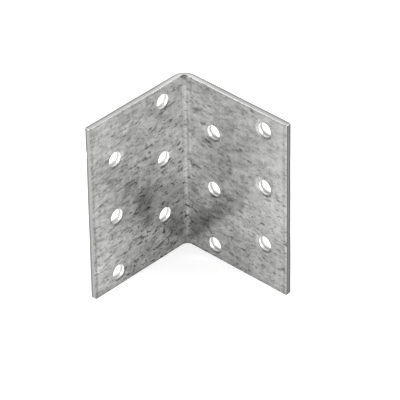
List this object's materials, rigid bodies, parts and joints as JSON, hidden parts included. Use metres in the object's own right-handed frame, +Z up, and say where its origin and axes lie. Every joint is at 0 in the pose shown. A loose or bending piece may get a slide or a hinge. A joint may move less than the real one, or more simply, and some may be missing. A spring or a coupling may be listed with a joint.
{
  "type": "corner brace bracket",
  "caption": "Right-angle bracket folded from one strip of perforated galvanised sheet, with staggered round screw holes in both legs.",
  "frame": {"origin": "centre of the bounding box at the lower cut edge, which the bracket stands on", "axes": "+Z up along the fold; one leg runs along +X with its outer face towards +Y, the other along -Y with its outer face towards -X, so the hollow corner opens towards +X and -Y"},
  "size_m": [0.0418, 0.0408, 0.06],
  "materials": {
    "galvanised_steel": "galvanised, dull, with short dark streaks along the sheet"
  },
  "bodies": {
    "root": {"bracket": "galvanised_steel"}
  },
  "joints": []
}
